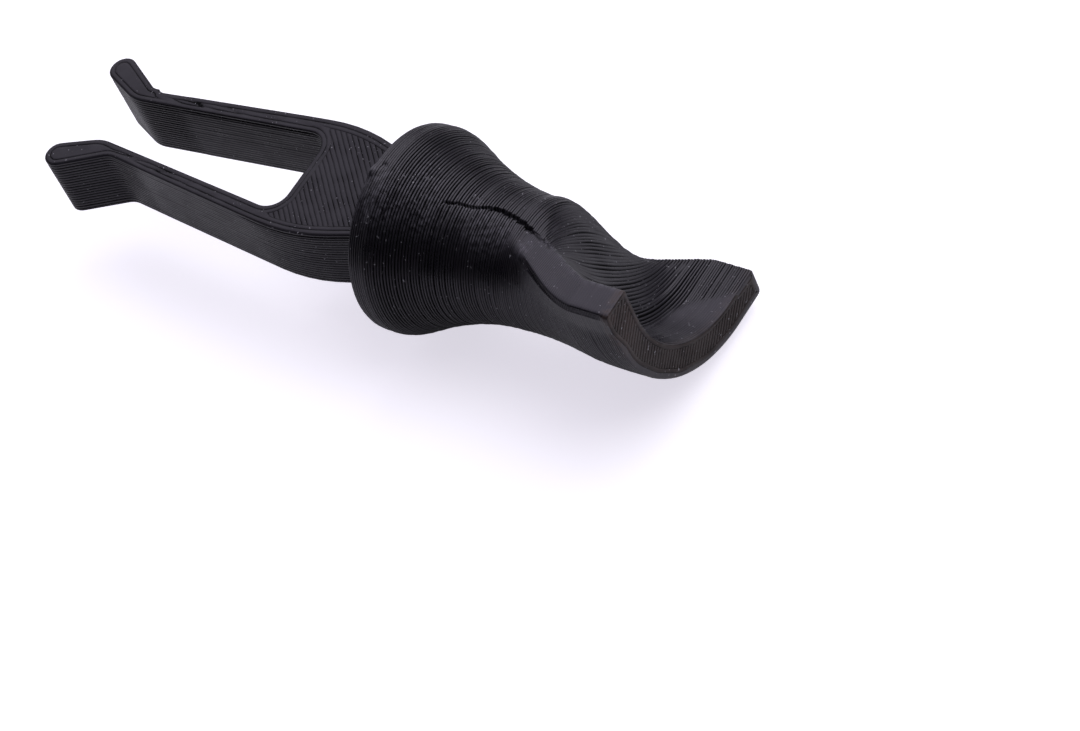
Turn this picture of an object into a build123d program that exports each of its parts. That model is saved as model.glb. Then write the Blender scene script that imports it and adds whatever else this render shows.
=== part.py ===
from build123d import *
import os
from math import acos, atan2, cos, pi, radians, sin

# Printed clay stamp: a stamping head and the flat fork that plugs into the back of it.
# X runs along the tool, from the fork's tips to the stamping face.
# Y runs across the fork, and Z is up, square to the fork's flat faces.
# The origin is under the middle of the tool, at the level of the collar's lowest point.
# All sizes are in millimetres, and angles are in degrees.

# Head: lengths along the tool
barrel_length = 12.2       # collar rim to the end of the round neck
loft_length = 10.1         # where the neck turns into the curved band
band_depth = 3.6           # straight band that ends in the stamping face

# Head: barrel of revolution
collar_radius = 8.4
collar_peak = 1.5          # widest place, measured from the rim
rim_drop = 0.2             # how far the rim stands in from the widest place
shoulder_radius = 7.35
shoulder_reach = 4.4
waist_radius = 6.15
waist_reach = 7.4
throat_radius = 5.5
throat_reach = 10.0
neck_radius = 5.3
rim_round = 0.5

# Head: curved band, a quarter arc with short straight ends
band_outer_radius = 11.75
band_width = 2.8
band_straight = 3.35       # straight run past each end of the quarter arc
band_centre = 4.3          # arc centre, measured from the tool's axis in Y and in Z

# Head: where the four corners of the band start on the round neck
inner_start_angle = 98.0
outer_start_angle = 108.0
outer_end_angle = 282.0
inner_end_angle = 320.0

# Head: how fast the neck turns into the band, as slopes at its start and end
outer_slope_shares = (0.8, 0.4)
inner_slope_shares = (-0.3, 1.1)
loft_steps = 6
curve_steps = 12

# Fork: flat sizes
fork_thickness = 6.0
slot_to_rim = 9.7          # end of the slot to the collar rim
slot_end_half = 4.05       # half of the gap at the slot's end
slot_corner_round = 1.7
crown_half = 5.9           # corner of the outline beside the slot's end, before rounding
crown_reach = 2.5          # from the slot end towards the collar
crown_round = 16.0
tang_lead = 0.3            # the outline is as narrow as the tang this far before the rim
tang_lead_round = 5.0
prong_reach = 17.9         # slot end to where the hook leaves the prong
prong_root_half = 3.55     # tool's axis to the prong's outer side there
mouth_offset = 1.6         # narrowest place of the gap, past the root of the hook
mouth_half = 2.17          # half of the gap there

# Fork: hooked tips
tip_radius = 1.2
hook_length = 4.55         # root of the hook to the middle of the rounded tip, along the tool
hook_spread = 1.2          # the same, outwards
hook_outer_round = 1.6
hook_inner_round = 3.0

# Fork: tang in the head's socket
tang_half = 3.7
tang_length = 7.3
tang_chamfer = 0.5
tang_clearance = 0.1
socket_end_gap = 0.1
socket_chamfer = 0.35

# Places along the tool
head_length = barrel_length + loft_length + band_depth
tip_reach = prong_reach + hook_length
fork_reach = slot_to_rim + tip_reach + tip_radius
rim_x = (fork_reach - head_length) / 2
neck_x = rim_x + barrel_length
band_x = neck_x + loft_length
face_x = band_x + band_depth
slot_x = rim_x - slot_to_rim
tang_end_x = rim_x + tang_length
axis_height = collar_radius
rim_radius = collar_radius - rim_drop
band_inner_radius = band_outer_radius - band_width


def cross_plane(x):
    """Plane square to the tool at x, with Y to the right and Z up, centred on the axis."""
    return Plane(origin=(x, 0, axis_height), x_dir=(0, 1, 0), z_dir=(1, 0, 0))


def neck_point(start, end, share):
    """Point on the round neck, a share of the way from one angle to another."""
    angle = radians(start + (end - start) * share)
    return Vector(neck_radius * cos(angle), neck_radius * sin(angle))


def band_point(radius, share):
    """Point on one side of the band: straight end, quarter arc, straight end."""
    arc = radius * pi / 2
    run = share * (arc + 2 * band_straight)
    if run < band_straight:
        return Vector(band_centre - radius, band_centre + band_straight - run)
    if run > band_straight + arc:
        return Vector(band_centre + run - band_straight - arc, band_centre - radius)
    angle = pi + (run - band_straight) / radius
    return Vector(band_centre + radius * cos(angle), band_centre + radius * sin(angle))


def eased(share, slopes):
    """Share of the change from neck to band, with the given slopes at its two ends."""
    rise = share**2 * (3 - 2 * share)
    start = slopes[0] * share * (1 - share) ** 2
    end = slopes[1] * share**2 * (share - 1)
    return rise + start + end


def side_points(share, radius, start, end, slopes):
    """Points along one long side of the section, part neck and part band."""
    turn = eased(share, slopes)
    steps = [step / curve_steps for step in range(curve_steps + 1)]
    return [
        neck_point(start, end, step) * (1 - turn) + band_point(radius, step) * turn
        for step in steps
    ]


def end_middle(first, last, start, end, share):
    """Middle of a short end: bowed like the neck at first, flat where the band starts."""
    chord = (neck_point(start, end, 0) + neck_point(start, end, 1)) / 2
    bow = neck_point(start, end, 0.5) - chord
    return (first + last) / 2 + bow * (1 - share)


def section(x, share):
    """Face at x, a share of the way from the round neck to the band, with four sides."""
    outer = side_points(
        share, band_outer_radius, outer_start_angle, outer_end_angle, outer_slope_shares
    )
    inner = side_points(
        share, band_inner_radius, inner_start_angle, inner_end_angle - 360, inner_slope_shares
    )
    low_middle = end_middle(outer[-1], inner[-1], outer_end_angle, inner_end_angle, share)
    top_middle = end_middle(inner[0], outer[0], inner_start_angle, outer_start_angle, share)
    if share == 0:
        outer_side = ThreePointArc(outer[0], outer[curve_steps // 2], outer[-1])
        inner_side = ThreePointArc(inner[-1], inner[curve_steps // 2], inner[0])
    else:
        outer_side = Spline(outer)
        inner_side = Spline(inner[::-1])
    if share == 1:
        low_end = Line(outer[-1], inner[-1])
        top_end = Line(inner[0], outer[0])
    else:
        low_end = ThreePointArc(outer[-1], low_middle, inner[-1])
        top_end = ThreePointArc(inner[0], top_middle, outer[0])
    return cross_plane(x) * Face(Wire([outer_side, low_end, inner_side, top_end]))


loft_shares = [step / loft_steps for step in range(loft_steps + 1)]
loft_sections = [section(neck_x + share * loft_length, share) for share in loft_shares]

# Stamping head: round collar, tapered neck and curved band, printed standing on its face
with BuildPart() as stamp_head:
    # Barrel, turned about the tool's axis, with a rounded rim
    barrel_plane = Plane(origin=(rim_x, 0, axis_height), x_dir=(1, 0, 0), z_dir=(0, -1, 0))
    with BuildSketch(barrel_plane) as barrel_outline:
        with BuildLine():
            Polyline((barrel_length, neck_radius), (barrel_length, 0), (0, 0), (0, rim_radius))
            TangentArc((collar_peak, collar_radius), (0, rim_radius), tangent=-Axis.X.direction)
            Spline(
                (collar_peak, collar_radius),
                (shoulder_reach, shoulder_radius),
                (waist_reach, waist_radius),
                (throat_reach, throat_radius),
                (barrel_length, neck_radius),
                tangents=(Axis.X.direction, Axis.X.direction),
            )
        make_face()
        rim_corner = barrel_outline.vertices().sort_by_distance(Vector(0, rim_radius))[0]
        fillet(rim_corner, radius=rim_round)
    revolve(axis=Axis((0, 0, axis_height), (1, 0, 0)))

    # Neck into band, with a hollow scoop on the inner side
    loft(loft_sections)

    # Straight band up to the stamping face
    extrude(loft_sections[-1], amount=band_depth)

    # Socket for the fork's tang, with a lead-in at its mouth
    with BuildSketch(cross_plane(rim_x)):
        Rectangle(2 * (tang_half + tang_clearance), fork_thickness + 2 * tang_clearance)
    extrude(amount=tang_length + socket_end_gap, mode=Mode.SUBTRACT)
    mouth = stamp_head.faces().filter_by(Axis.X).sort_by(Axis.X)[0]
    mouth_edges = mouth.inner_wires()[0].edges()
    chamfer(mouth_edges, length=socket_chamfer)


def tip_touch(corner, middle, side):
    """Point where a line from the corner touches the rounded tip, on one side of it."""
    gap = corner - middle
    swing = acos(tip_radius / gap.length)
    angle = atan2(gap.Y, gap.X) + side * swing
    return middle + Vector(tip_radius * cos(angle), tip_radius * sin(angle))


def corner_pair(outline, corner):
    """The outline's corner nearest to the given place, and its mirror image."""
    twin = Vector(corner.X, -corner.Y)
    return [outline.vertices().sort_by_distance(place)[0] for place in (corner, twin)]


# Fork: flat piece, printed lying down, with two springy prongs hooked outwards
tang_corner = Vector(tang_end_x, tang_half)
tang_root = Vector(rim_x - tang_lead, tang_half)
crown = Vector(slot_x + crown_reach, crown_half)
hook_root = Vector(slot_x - prong_reach, prong_root_half)
mouth_corner = Vector(slot_x - prong_reach - mouth_offset, mouth_half)
slot_corner = Vector(slot_x, slot_end_half)
tip_middle = Vector(slot_x - tip_reach, prong_root_half + hook_spread)
tip_end = tip_middle - Vector(tip_radius, 0)
outer_touch = tip_touch(hook_root, tip_middle, 1)
inner_touch = tip_touch(mouth_corner, tip_middle, -1)

with BuildPart() as fork_clip:
    with BuildSketch(Plane.XY.offset(axis_height - fork_thickness / 2)) as fork_outline:
        with BuildLine():
            Polyline((tang_end_x, 0), tang_corner, tang_root, crown, hook_root, outer_touch)
            ThreePointArc(outer_touch, tip_end, inner_touch)
            Polyline(inner_touch, mouth_corner, slot_corner, (slot_x, 0))
            mirror(about=Plane.XZ)
        make_face()
        fillet(corner_pair(fork_outline, crown), radius=crown_round)
        fillet(corner_pair(fork_outline, tang_root), radius=tang_lead_round)
        fillet(corner_pair(fork_outline, hook_root), radius=hook_outer_round)
        fillet(corner_pair(fork_outline, mouth_corner), radius=hook_inner_round)
        fillet(corner_pair(fork_outline, slot_corner), radius=slot_corner_round)
        chamfer(corner_pair(fork_outline, tang_corner), length=tang_chamfer)
    extrude(amount=fork_thickness)

stamp_head.part.label = "stamp_head"
fork_clip.part.label = "fork_clip"

os.makedirs("parts", exist_ok=True)
export_step(stamp_head.part, "parts/stamp_head.step")
export_step(fork_clip.part, "parts/fork_clip.step")
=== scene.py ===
import random
from math import acos, atan2, ceil, copysign, cos, exp, pi, radians, sin, sqrt, tan

import bmesh
import bpy
from mathutils import Matrix, Vector, noise


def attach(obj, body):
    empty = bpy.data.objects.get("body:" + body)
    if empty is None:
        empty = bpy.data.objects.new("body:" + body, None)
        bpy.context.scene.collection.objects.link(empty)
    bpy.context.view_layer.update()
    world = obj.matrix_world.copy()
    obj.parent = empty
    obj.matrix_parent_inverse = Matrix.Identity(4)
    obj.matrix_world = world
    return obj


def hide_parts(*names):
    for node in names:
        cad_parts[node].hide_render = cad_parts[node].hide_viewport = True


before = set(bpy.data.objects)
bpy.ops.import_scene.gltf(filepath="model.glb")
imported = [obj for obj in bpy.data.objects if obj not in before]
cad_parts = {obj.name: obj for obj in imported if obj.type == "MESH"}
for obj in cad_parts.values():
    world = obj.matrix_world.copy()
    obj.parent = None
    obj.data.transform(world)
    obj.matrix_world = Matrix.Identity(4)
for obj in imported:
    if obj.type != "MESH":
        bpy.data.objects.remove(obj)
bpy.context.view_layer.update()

# Stamp head: one piece printed in black PLA, standing on its stamping face, in 120 layers.
# Each layer is a bead that follows the outline at its own middle, so slopes turn into stairs.
# The socket in its back takes the fork's tang. X runs along the tool, as in the CAD model.

MM = 0.001
rng = random.Random(7)

# Lengths along the tool, in millimetres, as in the CAD model
tool_length, barrel_length, loft_length, band_depth = 59.25, 12.2, 10.1, 3.6
face_x = tool_length / 2
band_x = face_x - band_depth
neck_x = band_x - loft_length
rim_x = neck_x - barrel_length
axis_z = 8.4

# Barrel: rounded rim, widest place of the collar, and points down to the round neck
rim_round, rim_drop, collar_peak, collar_radius, neck_radius = 0.5, 0.2, 1.5, 8.4, 5.3
barrel_line = [
    (collar_peak, collar_radius), (4.4, 7.35), (7.4, 6.15), (10.0, 5.5),
    (barrel_length, neck_radius),
]

# Curved band: radii, centre of its arc from the axis, and the straight run past the arc's ends
outer_radius, inner_radius, band_centre, band_straight = 11.75, 8.95, 4.3, 3.35

# Angles on the round neck where the band's edges start, and how fast they turn into the band
outer_start, outer_end, inner_end = 108, 282, 320
outer_slopes, inner_slopes = (0.8, 0.4), (-0.3, 1.1)

# The upper edge of the scoop: place along the tool, and its angle on the round section
seam_line = [
    (3.7, 104), (9.96, 99.1), (11.1, 96.1), (12.28, 93.3), (13.75, 87.6), (14.69, 86.5),
    (15.88, 89), (17.04, 93.7), (18.0, 96.5), (19.5, 98), (30, 98),
]


def along(line, x):
    """Value at x on a line of points."""
    if x <= line[0][0]:
        return line[0][1]
    for (xa, ya), (xb, yb) in zip(line, line[1:]):
        if x <= xb:
            return ya + (yb - ya) * (x - xa) / (xb - xa)
    return line[-1][1]


def spline_slopes(line, rounds):
    """Slopes at the points of a smooth line that starts and ends level, found in rounds."""
    slopes = [0.0] * len(line)
    for _ in range(rounds):
        for i in range(1, len(line) - 1):
            ha, hb = line[i][0] - line[i - 1][0], line[i + 1][0] - line[i][0]
            da = (line[i][1] - line[i - 1][1]) / ha
            db = (line[i + 1][1] - line[i][1]) / hb
            side = slopes[i - 1] / ha + slopes[i + 1] / hb
            slopes[i] = (3 * (da / ha + db / hb) - side) / (2 * (1 / ha + 1 / hb))
    return slopes


barrel_slopes = spline_slopes(barrel_line, rounds=60)


def barrel_radius(x):
    """Radius of the barrel at x."""
    reach = x - rim_x
    if reach < collar_peak:
        radius = collar_radius - rim_drop * ((collar_peak - reach) / collar_peak) ** 2
        if reach < rim_round:
            radius -= rim_round - sqrt(rim_round**2 - (rim_round - reach) ** 2)
        return radius
    knots = list(zip(barrel_line, barrel_slopes))
    for ((xa, ya), slope_a), ((xb, yb), slope_b) in zip(knots, knots[1:]):
        if reach <= xb:
            run = xb - xa
            s = (reach - xa) / run
            low = ya * (1 + 2 * s) * (1 - s) ** 2 + slope_a * run * s * (1 - s) ** 2
            return low + yb * s * s * (3 - 2 * s) + slope_b * run * s * s * (s - 1)
    return neck_radius


def on_circle(radius, angle):
    """Point on a round section, at an angle in degrees."""
    return Vector((radius * cos(radians(angle)), radius * sin(radians(angle))))


def on_band(radius, share):
    """Point on one side of the band: straight end, quarter arc, straight end."""
    arc = radius * pi / 2
    run = share * (arc + 2 * band_straight)
    if run < band_straight:
        return Vector((band_centre - radius, band_centre + band_straight - run))
    if run > band_straight + arc:
        return Vector((band_centre + run - band_straight - arc, band_centre - radius))
    angle = pi + (run - band_straight) / radius
    return Vector((band_centre + radius * cos(angle), band_centre + radius * sin(angle)))


def eased(share, start, end):
    """Share of the change from neck to band, with the given slopes at its two ends."""
    rise = share**2 * (3 - 2 * share)
    return rise + start * share * (1 - share) ** 2 + end * share**2 * (share - 1)


def packed(count, pull):
    """Shares from 0 to 1 that lie closer together near both ends."""
    steps = [i / (count - 1) for i in range(count)]
    return [s - pull * sin(2 * pi * s) / (2 * pi) for s in steps]


def resampled(side, start, end, shares):
    """Points at the given shares of a side, after cutting its two ends by those lengths."""
    run = [0.0]
    for a, b in zip(side, side[1:]):
        run.append(run[-1] + (b - a).length)
    whole = run[-1] - start - end
    points, i = [], 0
    for share in shares:
        place = start + whole * share
        while i < len(side) - 2 and run[i + 1] < place:
            i += 1
        step = run[i + 1] - run[i]
        points.append(side[i].lerp(side[i + 1], (place - run[i]) / step if step else 0))
    return points


# Points on each side of the outline, and on each rounded corner between two sides
outer_shares, inner_shares, end_shares = packed(60, 0.86), packed(72, 0.86), packed(9, 0.0)
corner_shares = (0.25, 0.5, 0.75)
side_steps, end_steps = 80, 16

# Rounding after each side: outer low, inner low, inner top, outer top. On the round neck,
# where the short sides are shorter, it takes at most this share of a side.
edge_rounds = [0.55, 0.3, 0.22, 0.5]
most_rounded_share = 0.35


def rounded_by_curve(a, tip, b):
    """Three points on the rounded corner between a and b."""
    return [a * (1 - t) ** 2 + tip * (2 * t * (1 - t)) + b * t**2 for t in corner_shares]


def head_outline(x):
    """Outline of the head at x as points about the tool's axis, anticlockwise from outside."""
    seam = along(seam_line, x)
    if x <= neck_x:
        radius, share = barrel_radius(x), 0.0
    else:
        radius, share = neck_radius, min((x - neck_x) / loft_length, 1.0)
    turn_out, turn_in = eased(share, *outer_slopes), eased(share, *inner_slopes)
    outer, inner = [], []
    for i in range(side_steps + 1):
        s = i / side_steps
        outer_round = on_circle(radius, outer_start + (outer_end - outer_start) * s)
        inner_round = on_circle(radius, seam + (inner_end - 360 - seam) * s)
        outer.append(outer_round.lerp(on_band(outer_radius, s), turn_out))
        inner.insert(0, inner_round.lerp(on_band(inner_radius, s), turn_in))

    def short_end(a, b, start, stop):
        """Short side from a to b, bowed like the round neck at first and flat on the band."""
        middle = (on_circle(radius, start) + on_circle(radius, stop)) / 2
        bow = (on_circle(radius, (start + stop) / 2) - middle) * (1 - share)
        steps = [i / end_steps for i in range(end_steps + 1)]
        return [a.lerp(b, s) + bow * (4 * s * (1 - s)) for s in steps]

    low = short_end(outer[-1], inner[0], outer_end, inner_end)
    top = short_end(inner[-1], outer[0], seam, outer_start)
    sides = [(outer, outer_shares), (low, end_shares), (inner, inner_shares), (top, end_shares)]
    points = []
    for i, (side, shares) in enumerate(sides):
        most = most_rounded_share * sum((b - a).length for a, b in zip(side, side[1:]))
        run = resampled(side, min(edge_rounds[i - 1], most), min(edge_rounds[i], most), shares)
        if points:
            points += rounded_by_curve(points[-1], side[0], run[0])
        points += run
    return points + rounded_by_curve(points[-1], outer[0], points[0])


# Where the inner side, the top end and the top end's two edges lie in the list of points
inner_first = len(outer_shares) + len(end_shares) + 2 * len(corner_shares)
top_first = inner_first + len(inner_shares) + len(corner_shares)
upper_crease = top_first - 2
lower_crease = top_first + len(end_shares) + 2


def inward(points):
    """Unit vectors that point into the outline at each of its points."""
    count = len(points)
    result = []
    for i in range(count):
        along_edge = points[(i + 1) % count] - points[i - 1]
        result.append(Vector((-along_edge.y, along_edge.x)).normalized())
    return result


def smooth_step(a, b, value):
    """Rises smoothly from 0 at a to 1 at b."""
    share = max(0.0, min(1.0, (value - a) / (b - a)))
    return share * share * (3 - 2 * share)


def blob(p, middle, radius):
    """How close a point is to the middle of a small round mark, from 1 down to 0."""
    return exp(-((p - Vector(middle)).length_squared / radius**2))


# Depth of the groove between two layers, in millimetres. The flat facets are almost smooth,
# the steep wall of the scoop is deeply stepped, and a smooth patch lies beside the face.
groove, facet_cut, scoop_cut, band_cut, patch_groove = 0.13, 0.122, 0.3, 0.04, 0.015
near_facet_shares, near_facet_x, top_facet_x = (0.16, 0.3), (18.2, 19.6), (17.0, 18.2)
scoop_edge_shares, scoop_rise, scoop_end_x = (0.0, 0.03), 0.7, (23.4, 25.2)
band_cut_x, patch_before, patch_after = (21.0, 23.0), 0.1, 0.3

# Where the stepped wall and the smooth patch start: share of the inner side, place along X
ridge_starts = [(0.66, 17.4), (0.84, 18.1), (0.97, 19.0), (1.0, 19.6)]
patch_starts = [(0.1, 29.7), (0.15, 28.0), (0.195, 26.6), (0.27, 25.5)]


def groove_depth(i, x):
    """Depth of the groove at point i of the outline, at x along the tool."""
    depth = groove
    if i < len(outer_shares):
        near = 1 - smooth_step(*near_facet_shares, i / len(outer_shares))
        depth -= facet_cut * near * smooth_step(*near_facet_x, x)
    elif i >= top_first - 2:
        depth -= facet_cut * smooth_step(*top_facet_x, x)
    elif i >= inner_first:
        share = inner_shares[min(i - inner_first, len(inner_shares) - 1)]
        start = along(ridge_starts, share)
        scoop = smooth_step(*scoop_edge_shares, share)
        scoop *= smooth_step(start, start + scoop_rise, x)
        depth += scoop_cut * scoop * (1 - smooth_step(*scoop_end_x, x))
        depth += band_cut * smooth_step(*band_cut_x, x)
        patch = along(patch_starts, share)
        depth -= (depth - patch_groove) * smooth_step(patch - patch_before, patch + patch_after, x)
    return depth


# One layer's bead: shares of its height, and shares of the groove's depth there. The last
# one, which lay on the print bed, ends in a rounded edge.
head_layers = 120
bead_rows = [(0.04, 1.0), (0.27, 0.13), (0.73, 0.13), (0.96, 1.0)]
last_rows = bead_rows[:2] + [(0.75, 0.3), (0.93, 1.2), (1.0, 3.2)]

# The open split up the barrel, and the crease that goes on from it along the band's edge
crack_depth, crack_from, crack_to = 0.5, (9.8, 10.4), (20.6, 21.2)
crack_thin, crack_extra, crack_widens, crack_thins = 0.05, 0.06, (12.2, 14.0), (17.6, 18.0)
crease_depth, crease_width, crease_from, crease_to = 0.26, 0.05, (18.4, 19.0), (28.8, 29.2)

# How far layers differ from each other: each is shifted and cut a little, more where the
# grooves are deep, and a slow wave and a slower change of depth run through them all
seam_jitter, crease_jitter_share, layer_shift, depth_range = 0.08, 0.3, 0.035, (0.7, 1.3)
full_shift_groove, most_shift_share = 0.12, 1.2
wave_per_mm, wave_per_layer, wave_lift, wave_share, wave_groove = 0.5, 0.9, 0.6, 0.1, 0.15
grip_per_mm, grip_per_layer, grip_share = 0.35, 0.12, 0.6

# A bump and a pit beside the rim, as x, and y and z from the axis
rim_layers = 8
rim_bump, bump_radius, bump_height = (3.9, -1.1, 8.1), 0.55, 0.3
rim_pit, pit_radius, pit_depth = (4.8, -0.5, 8.3), 0.22, 0.2

# A groove this deep is painted fully dark, as the shade in it, and a grey highlight is
# painted along the band's upper edge, this many points wide
fully_shaded_groove, edge_highlight_points, edge_highlight_from = 0.1, 2, (18.6, 19.6)


def head_rings():
    """Rings of the head's layers, four to a layer, and the rounded edge of the face."""
    rings = []
    rise = (face_x - rim_x) / head_layers
    for k in range(head_layers):
        start = rim_x + k * rise
        middle = start + rise / 2
        points = head_outline(middle)
        normals = inward(points)
        jitter = rng.uniform(-seam_jitter, seam_jitter)
        crack = crack_depth * smooth_step(*crack_from, middle)
        crack *= 1 - smooth_step(*crack_to, middle)
        crack_width = crack_thin + crack_extra * smooth_step(*crack_widens, middle)
        crack_width -= crack_extra * smooth_step(*crack_thins, middle)
        crease = crease_depth * smooth_step(*crease_from, middle)
        crease *= 1 - smooth_step(*crease_to, middle)
        depth_here = rng.uniform(*depth_range)
        shift = rng.uniform(0, layer_shift)
        for t, depth in last_rows if k == head_layers - 1 else bead_rows:
            ring = []
            for i, (p, n) in enumerate(zip(points, normals)):
                base = groove_depth(i, middle)
                wave = noise.noise((*(p * wave_per_mm), k * wave_per_layer))
                grip = 1 + grip_share * noise.noise((*(p * grip_per_mm), k * grip_per_layer))
                push = base * depth_here * grip * depth
                push += shift * min(most_shift_share, base / full_shift_groove)
                push += wave_share * min(wave_groove, base) * (wave + wave_lift)
                if crack:
                    side = 1 if i > upper_crease else -1
                    gap = (p - points[upper_crease]).length * side - jitter
                    push += crack * exp(-((gap / crack_width) ** 2))
                if crease:
                    side = 1 if lower_crease < i or i < len(outer_shares) // 2 else -1
                    gap = (p - points[lower_crease]).length * side
                    gap -= jitter * crease_jitter_share
                    push += crease * exp(-((gap / crease_width) ** 2))
                if k < rim_layers:
                    here = Vector((start + rise * t, p.x, p.y))
                    push -= bump_height * blob(here, rim_bump, bump_radius)
                    push += pit_depth * blob(here, rim_pit, pit_radius)
                q = p + n * push
                place = Vector((start + rise * t, q.x, q.y + axis_z)) * MM
                # A corner at a groove's bottom is painted dark, as the shade that falls in the
                # groove
                gap_shade = min(1, base * grip / fully_shaded_groove) if depth == 1 else 0
                # A thin grey highlight is painted along the band's upper edge
                edge_highlight_and_scuff = exp(-(((i - upper_crease) / edge_highlight_points) ** 2))
                edge_highlight_and_scuff *= smooth_step(*edge_highlight_from, middle)
                ring.append((place, gap_shade, edge_highlight_and_scuff))
            rings.append(ring)
    return rings


def rolled_sheet(rings):
    """Closed tube: a grid sheet whose rows are the rings, with its two long sides joined.

    Each ring holds, for each corner, its place, how much painted shade it takes in the gap
    between two layers, and how much painted grey highlight it takes along the band's edge.
    """
    columns, rows = len(rings[0]), len(rings)
    bm = bmesh.new()
    gap, scuff_and_highlight = bm.verts.layers.float.new("gap"), bm.verts.layers.float.new("scuff_and_highlight")
    bmesh.ops.create_grid(bm, x_segments=columns, y_segments=rows - 1, size=1)
    for vert in bm.verts:
        i = round((vert.co.x + 1) / 2 * columns) % columns
        j = round((vert.co.y + 1) / 2 * (rows - 1))
        vert.co, vert[gap], vert[scuff_and_highlight] = rings[j][i]
    bmesh.ops.remove_doubles(bm, verts=bm.verts, dist=1e-9)
    return bm


def edge_distance(p, outline):
    """Distance from a point to a closed outline."""
    best = 1e9
    for a, b in zip(outline, outline[1:] + outline[:1]):
        run = b - a
        share = max(0.0, min(1.0, (p - a).dot(run) / run.length_squared))
        best = min(best, (a + run * share - p).length_squared)
    return sqrt(best)


def diced(bm, face, axes, step):
    """Cuts a flat face into small cells and writes each corner's distance from the edge."""
    layer = bm.verts.layers.float.get("edge") or bm.verts.layers.float.new("edge")
    outline = [Vector([v.co[axis] for axis in axes]) / MM for v in face.verts]
    places = [[v.co[axis] for v in face.verts] for axis in axes]
    cells = [face]
    for axis, (low, high) in zip(axes, [(min(row), max(row)) for row in places]):
        for i in range(1, int((high - low) / (step * MM)) + 1):
            point, normal = Vector((0, 0, 0)), Vector((0, 0, 0))
            point[axis], normal[axis] = low + i * step * MM, 1
            geom = set(cells)
            for cell in cells:
                geom.update(cell.edges)
                geom.update(cell.verts)
            cut = bmesh.ops.bisect_plane(bm, geom=list(geom), plane_co=point, plane_no=normal)
            cells = [g for g in cut["geom"] if isinstance(g, bmesh.types.BMFace)]
    for vert in {v for cell in cells for v in cell.verts}:
        vert[layer] = edge_distance(Vector([vert.co[axis] for axis in axes]) / MM, outline)
    return cells


def colour(code):
    """Linear colour of an sRGB hex code."""
    parts = [int(code[i : i + 2], 16) / 255 for i in (1, 3, 5)]
    return [p / 12.92 if p <= 0.04045 else ((p + 0.055) / 1.055) ** 2.4 for p in parts] + [1]


def node(tree, kind, inputs, **settings):
    """Adds a node; inputs holds, by socket, a value, an output, or a node's first output."""
    made = tree.nodes.new(kind)
    for name, value in settings.items():
        setattr(made, name, value)
    for socket, value in inputs.items():
        value = value.outputs[0] if isinstance(value, bpy.types.Node) else value
        if isinstance(value, bpy.types.NodeSocket):
            tree.links.new(value, made.inputs[socket])
        else:
            made.inputs[socket].default_value = value
    return made


def ridged(tree, place, width):
    """Height of round beads of the given width, laid side by side along a coordinate."""
    turns = node(tree, "ShaderNodeMath", {0: place, 1: pi / width}, operation="MULTIPLY")
    wave = node(tree, "ShaderNodeMath", {0: turns}, operation="SINE")
    height = node(tree, "ShaderNodeMath", {0: wave}, operation="ABSOLUTE")
    return node(tree, "ShaderNodeMath", {0: height, 1: 0.5}, operation="POWER")


# The beads' path strays from its line over about 2 mm, by up to 0.12 mm
stray_size, stray = 2.0, 0.12


def bead_lines(tree, place, across, bead, rim_beads, filled_from):
    """Bead height on a flat side: beads along its edge, slanted ones from filled_from on."""
    edge = node(tree, "ShaderNodeAttribute", {}, attribute_name="edge").outputs["Fac"]
    x = node(tree, "ShaderNodeSeparateXYZ", {0: place})
    filled = node(
        tree, "ShaderNodeMath", {0: x, 1: filled_from * MM}, operation="GREATER_THAN"
    )
    reach = node(
        tree, "ShaderNodeMath", {0: filled, 1: (rim_beads - 1) * bead, 2: 1.5 * bead},
        operation="MULTIPLY_ADD",
    )
    near = node(tree, "ShaderNodeMath", {0: edge, 1: reach}, operation="MINIMUM")
    slanted = node(tree, "ShaderNodeVectorMath", {0: place, 1: across}, operation="DOT_PRODUCT")
    wobble = node(tree, "ShaderNodeTexNoise", {"Vector": place, "Scale": 1 / (stray_size * MM)})
    strayed = node(
        tree, "ShaderNodeMath", {0: wobble, 1: stray, 2: slanted.outputs["Value"]},
        operation="MULTIPLY_ADD",
    )
    past = node(
        tree, "ShaderNodeMath", {0: edge, 1: rim_beads * bead}, operation="GREATER_THAN"
    )
    inside = node(tree, "ShaderNodeMath", {0: past, 1: filled}, operation="MULTIPLY")
    heights = {"A": ridged(tree, near, bead), "B": ridged(tree, strayed, bead)}
    return node(tree, "ShaderNodeMix", {"Factor": inside, **heights})


# Patterns on the plastic, in millimetres: patches where the gloss changes, grains of dried
# clay, fine scratches in a scuff, and dust. Dust is drawn coarser than it is, or the render
# would not show it.
patch_size, grain_size, scratch_size, dust_size = 2.2222, 0.66667, 0.384615, 0.238095
# Colours laid on the black: grey for scuffs and a painted edge highlight, brown for clay, black for
# painted shade in the gaps, pale grey for dust
scuff_and_highlight_grey, clay_brown, gap_shade_black, dust_grey = "#4b4951", "#392e2a", "#060608", "#85838b"
shine_tint, gap_shade_tint = "#f6f1ff", "#595959"


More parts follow.
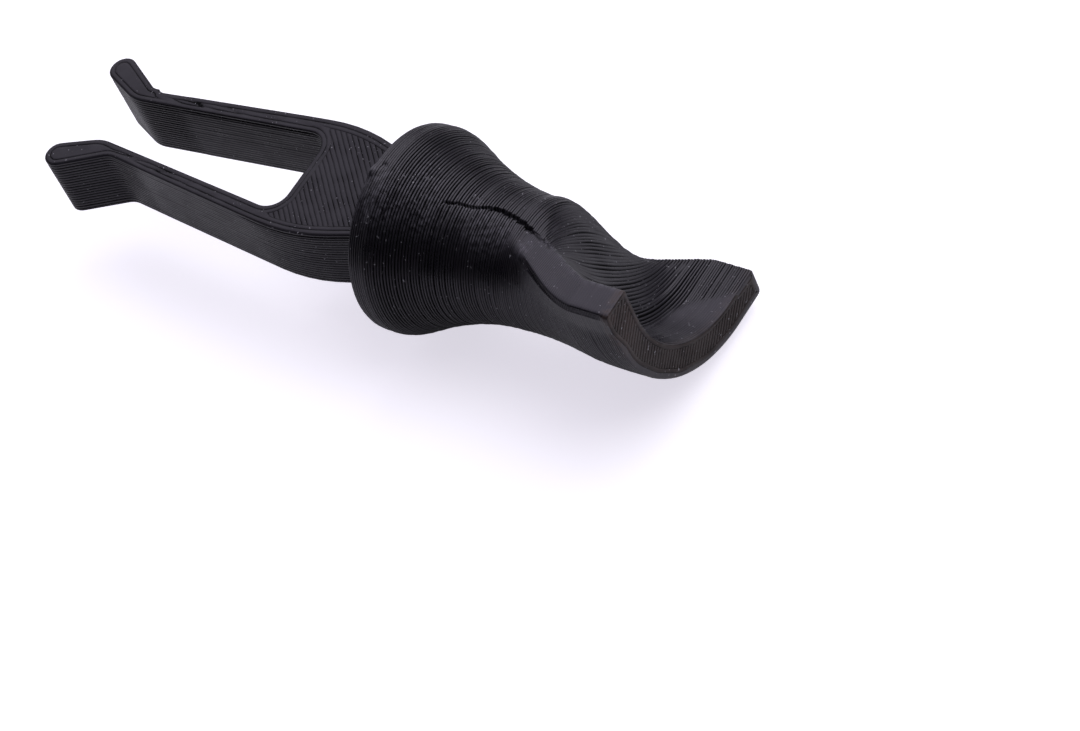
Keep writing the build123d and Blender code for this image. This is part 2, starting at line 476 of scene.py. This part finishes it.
def plastic(name, shade, specular, roughness, bead_height=0, **beads):
    """Black PLA: painted shade in its bead gaps, grey scuffs, a painted edge highlight, clay, dust.
    """
    made = bpy.data.materials.new(name)
    made.use_nodes = True
    tree = made.node_tree
    shader = tree.nodes["Principled BSDF"]
    shader.inputs["Specular IOR Level"].default_value = specular
    place = node(tree, "ShaderNodeTexCoord", {}).outputs["Object"]
    # The gap mark holds painted shade in the grooves; the scuff mark holds grey scuffs and the
    # painted highlight along the band's upper edge
    gap, scuff_and_highlight, clay = [
        node(tree, "ShaderNodeAttribute", {}, attribute_name=mark).outputs["Fac"]
        for mark in ("gap", "scuff_and_highlight", "clay")
    ]
    patches, grains, scratches, dust = [
        node(
            tree, "ShaderNodeTexNoise",
            {"Vector": place, "Scale": 1 / (size * MM), "Detail": detail},
        )
        for size, detail in ((patch_size, 2), (grain_size, 3), (scratch_size, 4), (dust_size, 1))
    ]

    # Scuffs and a painted edge highlight, clay near the face, dust in some patches only
    edge_highlight_and_scuff = node(tree, "ShaderNodeMath", {0: scuff_and_highlight, 1: 1.0}, operation="MINIMUM")
    scratched = node(
        tree, "ShaderNodeMapRange", {"Value": scratches, "From Min": 0.4, "From Max": 0.65}
    )
    scuffs_and_highlight = node(tree, "ShaderNodeMath", {0: edge_highlight_and_scuff, 1: scratched}, operation="MULTIPLY")
    grainy = node(
        tree, "ShaderNodeMapRange", {"Value": grains, "From Min": 0.35, "From Max": 0.55}
    )
    dried = node(tree, "ShaderNodeMath", {0: clay, 1: grainy}, operation="MULTIPLY")
    dots = node(
        tree, "ShaderNodeMapRange", {"Value": dust, "From Min": 0.705, "From Max": 0.75}
    )
    dusty = node(
        tree, "ShaderNodeMapRange", {"Value": patches, "From Min": 0.46, "From Max": 0.56}
    )
    specks = node(tree, "ShaderNodeMath", {0: dots, 1: dusty}, operation="MULTIPLY")

    # On a flat side the beads are a bump, and here and there their gaps are painted dark as shade
    if beads:
        lines = bead_lines(tree, place, **beads)
        low = node(
            tree, "ShaderNodeMapRange", {"Value": lines, "From Min": 0.7, "From Max": 0.35}
        )
        shaded_here = node(
            tree, "ShaderNodeMapRange", {"Value": patches, "From Min": 0.42, "From Max": 0.58}
        )
        gap = node(tree, "ShaderNodeMath", {0: low, 1: shaded_here}, operation="MULTIPLY")
        gap = gap.outputs[0]
        bump = node(
            tree, "ShaderNodeBump",
            {"Height": lines, "Distance": bead_height * MM, "Strength": 1.0},
        )
        tree.links.new(bump.outputs[0], shader.inputs["Normal"])

    # Base colour: scuffs and painted edge highlight, clay, painted shade in the gaps, then dust
    last = colour(shade)
    layers = [(scuffs_and_highlight, scuff_and_highlight_grey), (dried, clay_brown), (gap, gap_shade_black), (specks, dust_grey)]
    for amount, code in layers:
        last = node(
            tree, "ShaderNodeMix", {"Factor": amount, "A": last, "B": colour(code)},
            data_type="RGBA",
        ).outputs["Result"]
    tree.links.new(last, shader.inputs["Base Color"])
    # The painted shade in the gaps also dims their reflection, through the specular tint
    tint = node(
        tree, "ShaderNodeMix", {"Factor": gap, "A": colour(shine_tint), "B": colour(gap_shade_tint)},
        data_type="RGBA",
    )
    tree.links.new(tint.outputs["Result"], shader.inputs["Specular Tint"])

    # Rougher in patches by 0.12, dull where clay dried and dullest in the gaps
    satin = node(
        tree, "ShaderNodeMapRange",
        {
            "Value": patches, "From Min": 0.35, "From Max": 0.65,
            "To Min": roughness, "To Max": roughness + 0.12,
        },
    )
    clay_dull = node(tree, "ShaderNodeMath", {0: dried, 1: 0.6}, operation="MULTIPLY")
    dull = node(tree, "ShaderNodeMath", {0: clay_dull, 1: gap}, operation="MAXIMUM")
    dullest = node(tree, "ShaderNodeMath", {0: dull, 1: 0.95}, operation="MULTIPLY")
    rough = node(tree, "ShaderNodeMath", {0: satin, 1: dullest}, operation="MAXIMUM")
    tree.links.new(rough.outputs[0], shader.inputs["Roughness"])
    return made


def finished(bm, name, material, body, node_name):
    """Turns a bmesh into a piece that takes the place of a CAD node."""
    bmesh.ops.recalc_face_normals(bm, faces=bm.faces)
    mesh = bpy.data.meshes.new(name)
    bm.to_mesh(mesh)
    bm.free()
    mesh.materials.append(material)
    piece = bpy.data.objects.new(name, mesh)
    bpy.context.scene.collection.objects.link(piece)
    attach(piece, body)
    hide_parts(node_name)
    return piece


# Black PLA, extruded in beads: satin black that mirrors softly along each bead; the shade in
# the gaps between them is painted dark. Its gloss and its IOR are those of plain plastic.
black_pla = plastic("black_pla", "#131117", 0.5, 0.25)

# Black PLA pressed on clay: slanted beads 0.36 mm wide inside one bead along the edge, dull
# and brown with the clay that dried on them. The beads run at 45 degrees to Y and Z.
clay_marked = plastic(
    "black_pla_stamping_face", "#241b16", 0.32, 0.45, bead_height=0.1,
    across=Vector((0, 1, -1)).normalized() / MM, bead=0.36, rim_beads=1, filled_from=rim_x,
)

# Scuffs from fingers and the bench along the head's top: middle, radius
scuff_spots = [
    ((7.3, -2.5, 15.8), 1.8), ((8.4, 0, 15.6), 1.8), ((9.6, -2.6, 14.9), 1.5),
    ((12.2, -0.7, 14.2), 1.4), ((13.8, -2.1, 13.5), 1.4), ((15.1, -1.3, 13.6), 1.2),
    ((18.1, -2.7, 14.0), 0.8), ((5.5, -3.6, 15.6), 1.5), ((5.0, -1.5, 16.5), 1.3),
]

# Dried clay: thin all over the face, thickest near its upper end
clay_from, clay_middle, clay_radius = (28.7, 29.4), (29.6, -6.2, 14.6), 2.6
least_clay, more_clay = 0.3, 1.2

# Socket, and the size of the cells on the flat face. Cells with a larger area than a
# bead's, in square metres, belong to the socket and stay flat.
socket_depth, socket_wide, socket_high, lead_in = 7.4, 7.6, 6.2, 0.35
face_cell, largest_bead_cell = 0.3, 1e-6

bm = rolled_sheet(head_rings())
ends = [e for e in bm.edges if e.is_boundary]
front_edges = [e for e in ends if e.verts[0].co.x > neck_x * MM]
rear_edges = [e for e in ends if e.verts[0].co.x < neck_x * MM]
face = bmesh.ops.edgeloop_fill(bm, edges=front_edges)["faces"][0]
face_cells = diced(bm, face, (1, 2), face_cell)

# Socket: a box that opens at the back and flares there, with the rim's flat end around it
socket = bmesh.ops.create_cube(bm, size=1)["verts"]
for vert in socket:
    depth = lead_in if vert.co.x < 0 else socket_depth
    vert.co = Vector((rim_x + depth, vert.co.y * socket_wide, vert.co.z * socket_high + axis_z)) * MM
mouth = [
    f for f in bm.faces
    if all(v in socket for v in f.verts) and f.calc_center_median().x < (rim_x + lead_in) * MM + 1e-5
]
mouth_edges = list(mouth[0].edges)
bmesh.ops.delete(bm, geom=mouth, context="FACES_ONLY")
flare = bmesh.ops.extrude_edge_only(bm, edges=mouth_edges)["geom"]
flare_verts = [g for g in flare if isinstance(g, bmesh.types.BMVert)]
for vert in flare_verts:
    vert.co.x = rim_x * MM
    vert.co.y += copysign(lead_in, vert.co.y) * MM
    vert.co.z += copysign(lead_in, vert.co.z - axis_z * MM) * MM
flare_edges = [
    g for g in flare
    if isinstance(g, bmesh.types.BMEdge) and all(v in flare_verts for v in g.verts)
]
bmesh.ops.triangle_fill(bm, use_beauty=True, edges=rear_edges + flare_edges)

scuff_and_highlight, clay = bm.verts.layers.float["scuff_and_highlight"], bm.verts.layers.float.new("clay")
for vert in bm.verts:
    place = vert.co / MM
    vert[scuff_and_highlight] += sum(blob(place, middle, radius) for middle, radius in scuff_spots)
    near_end = blob(place, clay_middle, clay_radius)
    vert[clay] = smooth_step(*clay_from, place.x) * min(1, least_clay + more_clay * near_end)
for face in bm.faces:
    face.smooth = len(face.verts) == 4 and face.calc_area() < largest_bead_cell
for face in face_cells:
    face.smooth = False
    face.material_index = 1
head = finished(bm, "stamp_head_print", black_pla, "head", "stamp_head")
head.data.materials.append(clay_marked)

# Fork: one flat piece printed in black PLA, lying down, in 20 layers. Its tang seats in the
# head's socket, and its two prongs, hooked outwards at their tips, are left springy.

fork_layers, fork_thickness, slot_to_rim = 20, 6.0, 9.7
slot_x = rim_x - slot_to_rim
fork_bottom, fork_top = axis_z - fork_thickness / 2, axis_z + fork_thickness / 2
tang_length, tang_half, tang_chamfer, tang_lead, tang_lead_round = 7.3, 3.7, 0.5, 0.3, 5.0
crown_reach, crown_half, crown_round = 2.5, 5.9, 16.0
slot_end_half, slot_corner_round = 4.05, 1.7
prong_reach, prong_root_half, mouth_offset, mouth_half = 17.9, 3.55, 1.6, 2.17
hook_length, hook_spread, hook_outer_round, hook_inner_round = 4.55, 1.2, 1.6, 3.0
tip_radius, tip_steps, arc_step = 1.2, 16, 6


def rounded_corner(a, p, b, radius):
    """Points, at most 6 degrees apart, of the arc that rounds the corner p between a and b."""
    u, v = (a - p).normalized(), (b - p).normalized()
    half = acos(max(-1, min(1, u.dot(v)))) / 2
    cut = radius / tan(half)
    centre = p + (u + v).normalized() * (radius / sin(half))
    start, end = p + u * cut - centre, p + v * cut - centre
    swing = atan2(start.x * end.y - start.y * end.x, start.dot(end))
    count = max(2, ceil(abs(swing) / radians(arc_step)))
    return [centre + Matrix.Rotation(swing * i / count, 2) @ start for i in range(count + 1)]


def tip_touch(p, middle, side):
    """Point where a line from p touches the rounded tip, on one side of it."""
    gap = p - middle
    angle = atan2(gap.y, gap.x) + side * acos(tip_radius / gap.length)
    return middle + Vector((tip_radius * cos(angle), tip_radius * sin(angle)))


def half_fork():
    """Half of the fork's outline, from the tang's end round to the slot's end."""
    tang_end = rim_x + tang_length
    tang_nose = Vector((tang_end, tang_half - tang_chamfer))
    tang_side = Vector((tang_end - tang_chamfer, tang_half))
    tang_root = Vector((rim_x - tang_lead, tang_half))
    crown = Vector((slot_x + crown_reach, crown_half))
    hook_root = Vector((slot_x - prong_reach, prong_root_half))
    mouth = Vector((slot_x - prong_reach - mouth_offset, mouth_half))
    tip = hook_root + Vector((-hook_length, hook_spread))
    slot_corner, slot_middle = Vector((slot_x, slot_end_half)), Vector((slot_x, 0))
    outer, inner = tip_touch(hook_root, tip, 1), tip_touch(mouth, tip, -1)
    start = atan2(outer.y - tip.y, outer.x - tip.x)
    turn = atan2(inner.y - tip.y, inner.x - tip.x) % (2 * pi) - start
    angles = [start + turn * i / tip_steps for i in range(1, tip_steps)]
    return (
        [tang_nose, tang_side]
        + rounded_corner(tang_side, tang_root, crown, tang_lead_round)
        + rounded_corner(tang_root, crown, hook_root, crown_round)
        + rounded_corner(crown, hook_root, outer, hook_outer_round)
        + [outer]
        + [tip + Vector((cos(angle), sin(angle))) * tip_radius for angle in angles]
        + [inner]
        + rounded_corner(inner, mouth, slot_corner, hook_inner_round)
        + rounded_corner(mouth, slot_corner, slot_middle, slot_corner_round)
        + [slot_middle]
    )


def fork_points(spacing):
    """Evenly spaced points round the whole fork."""
    half = half_fork()
    line = half + [Vector((p.x, -p.y)) for p in half[::-1]][1:]
    line.append(line[0])
    length = sum((b - a).length for a, b in zip(line, line[1:]))
    count = round(length / spacing)
    return resampled(line, 0, 0, [i / count for i in range(count)])


# Grooves of the fork, shallower along the middle of the prongs, and rounded outer edges
point_spacing, fork_groove, fork_shift, edge_rounding = 0.3, 0.065, 0.015, 1.6
fork_wave, fork_wave_per_mm, fork_wave_per_layer = 0.006, 0.4, 0.7
prong_smooth, prong_from, prong_to = 0.6, (-22, -20), (-9, -5)

# The bump where each of the top three layers starts, beside the far hook
start_mark = (slot_x - prong_reach, 3.6)
mark_radius, mark_height, mark_layers = sqrt(0.1), 0.24, 3

# The open gap under the top layer: on the near outer side beyond a distance from the middle,
# and on the inner side of the far prong
near_gap, near_gap_from, near_side = 0.35, (-9.5, -7.5), -3.6
far_gap, far_gap_from, far_side, past_slot = 0.3, (-21.0, -17.0), 4.2, 0.2


def top_gap(p):
    """Depth of the open gap under the top layer, where the layers have parted."""
    if p.y < near_side:
        return near_gap * smooth_step(*near_gap_from, p.x)
    if 0 < p.y < far_side and p.x < slot_x + past_slot:
        return far_gap * smooth_step(*far_gap_from, p.x)
    return 0.0


def fork_rings():
    """Rings of the fork's layers, four to a layer."""
    points = fork_points(point_spacing)
    normals = inward(points)
    rise = fork_thickness / fork_layers
    top_layer, last_row = fork_layers - 1, len(bead_rows) - 1
    rings = []
    for k in range(fork_layers):
        shift = rng.uniform(0, fork_shift)
        for row, (t, depth) in enumerate(bead_rows):
            z = fork_bottom + (k + t) * rise
            if k == row == 0:
                z, depth = fork_bottom, edge_rounding
            if k == top_layer and row == last_row:
                z, depth = fork_top, edge_rounding
            under_top = (k, row) in ((top_layer - 1, last_row), (top_layer, 0))
            ring = []
            for p, n in zip(points, normals):
                wave = noise.noise((*(p * fork_wave_per_mm), k * fork_wave_per_layer))
                mid_prong = smooth_step(*prong_from, p.x) * (1 - smooth_step(*prong_to, p.x))
                rough = 1 - prong_smooth * mid_prong
                push = fork_groove * depth * rough + shift + fork_wave * (wave + wave_lift)
                if under_top:
                    push += top_gap(p)
                if k >= fork_layers - mark_layers:
                    push -= mark_height * blob(p, start_mark, mark_radius)
                q = p + n * push
                # A corner at a groove's bottom is painted dark as shade, less along the prongs'
                # middle
                ring.append((Vector((q.x, q.y, z)) * MM, rough if depth == 1 else 0, 0))
            rings.append(ring)
    return rings


# Black PLA, top layer: slanted lines 0.4 mm apart, as a 0.4 mm nozzle lays them, inside two
# beads along the edge. Flat beads give a duller black than the sides. The prongs are too
# narrow for slanted lines, so these stop a little past the slot's end.
filled_past_slot, fork_cell = 1.2, 0.35
fork_face = plastic(
    "black_pla_fork_top", "#131117", 0.36, 0.4, bead_height=0.07,
    across=Vector((1, 1, 0)).normalized() / MM, bead=0.4, rim_beads=2,
    filled_from=slot_x - filled_past_slot,
)

bm = rolled_sheet(fork_rings())
ends = [e for e in bm.edges if e.is_boundary]
for face in bm.faces:
    face.smooth = True
for level in (fork_bottom * MM, fork_top * MM):
    loop = [e for e in ends if abs(e.verts[0].co.z - level) < 1e-4]
    face = bmesh.ops.edgeloop_fill(bm, edges=loop)["faces"][0]
    for cell in diced(bm, face, (0, 1), fork_cell):
        cell.smooth = False
        cell.material_index = 1
fork = finished(bm, "fork_clip_print", black_pla, "fork", "fork_clip")
fork.data.materials.append(fork_face)

# Floor: a plain white table, matt, that keeps the tool's shadow. The camera sees it glow
# white, and the black plastic mirrors a small share of that glow, or it would look pale.

floor_mesh = bpy.data.meshes.new("floor")
bm = bmesh.new()
bmesh.ops.create_grid(bm, x_segments=1, y_segments=1, size=3)
bm.to_mesh(floor_mesh)
bm.free()
floor = bpy.data.objects.new("floor", floor_mesh)
bpy.context.scene.collection.objects.link(floor)

# Matt white laminate: even and pale, with soft shadows that keep a faint violet
table_white, glow_white, glow_strength, mirrored_glow = "#dadadd", "#f7f3ff", 0.73, 0.15
white = bpy.data.materials.new("white_table")
white.use_nodes = True
tree = white.node_tree
tree.nodes.clear()
diffuse = node(tree, "ShaderNodeBsdfDiffuse", {"Color": colour(table_white)})
glow = node(
    tree, "ShaderNodeEmission", {"Color": colour(glow_white), "Strength": glow_strength}
)
both = node(tree, "ShaderNodeAddShader", {0: diffuse, 1: glow})
rays = node(tree, "ShaderNodeLightPath", {}).outputs
mirrored = node(
    tree, "ShaderNodeMath", {0: rays["Is Glossy Ray"], 1: rays["Is Transmission Ray"]},
    operation="ADD",
)
seen = node(
    tree, "ShaderNodeMath", {0: mirrored, 1: mirrored_glow, 2: rays["Is Camera Ray"]},
    operation="MULTIPLY_ADD", use_clamp=True,
)
mix = node(tree, "ShaderNodeMixShader", {0: seen, 1: diffuse, 2: both})
node(tree, "ShaderNodeOutputMaterial", {"Surface": mix})
floor_mesh.materials.append(white)

# Light: a dim room that is brighter on the far left, a soft window in it, and one large
# lamp overhead. The camera sees a plain white backdrop instead of the room.

world = bpy.data.worlds.new("studio")
world.use_nodes = True
bpy.context.scene.world = world
tree = world.node_tree
background = tree.nodes["Background"]
direction = node(tree, "ShaderNodeTexCoord", {}).outputs["Generated"]
backdrop, least_light = 1.15, 0.015


def toward(way, low, high, top):
    """Light that grows to a top value as the direction turns toward a way."""
    facing = node(
        tree, "ShaderNodeVectorMath", {0: direction, 1: way}, operation="DOT_PRODUCT"
    ).outputs["Value"]
    return node(
        tree, "ShaderNodeMapRange",
        {"Value": facing, "From Min": low, "From Max": high, "To Max": top},
        interpolation_type="SMOOTHSTEP",
    )


room = toward(way=(-0.35, 0.75, 0.56), low=-0.25, high=0.9, top=0.38)
window = toward(way=(-0.5, 0.45, 0.74), low=0.72, high=0.98, top=1.0)
lit = node(tree, "ShaderNodeMath", {0: room, 1: window}, operation="ADD")
least = node(tree, "ShaderNodeMath", {0: lit, 1: least_light}, operation="ADD")
rays = node(tree, "ShaderNodeLightPath", {}).outputs
plain = node(
    tree, "ShaderNodeMath", {0: rays["Is Camera Ray"], 1: rays["Is Transmission Ray"]},
    operation="ADD",
)
level = node(tree, "ShaderNodeMix", {"Factor": plain, "A": least, "B": backdrop})
tree.links.new(level.outputs["Result"], background.inputs["Strength"])
background.inputs["Color"].default_value = colour(glow_white)

key_light = bpy.data.lights.new("key", "AREA")
key_light.shape, key_light.size, key_light.energy = "SQUARE", 0.8, 3.6
key = bpy.data.objects.new("key", key_light)
key.location = (0.3, 0.35, 0.6)
key.rotation_euler = (-key.location).to_track_quat("-Z", "Y").to_euler()
bpy.context.scene.collection.objects.link(key)

# Camera: fitted to the photograph, so its place and the directions of its right and up
# sides are what the fit gave, in metres and in the frame's own axes.

camera_place = (0.1823454, -0.1304168, 0.2288594)
camera_right = Vector((0.8043674, 0.5100278, -0.3047372))
camera_up = Vector((-0.2519121, 0.7572974, 0.6025288))
camera_data = bpy.data.cameras.new("camera")
camera_data.lens = 133.333
camera_data.sensor_width = 36
camera_data.clip_start, camera_data.clip_end = 0.01, 20
camera = bpy.data.objects.new("camera", camera_data)
turn = Matrix((camera_right, camera_up, camera_right.cross(camera_up))).transposed().to_4x4()
camera.matrix_world = Matrix.Translation(camera_place) @ turn
bpy.context.scene.collection.objects.link(camera)
bpy.context.scene.camera = camera
bpy.context.scene.view_settings.view_transform = "Standard"
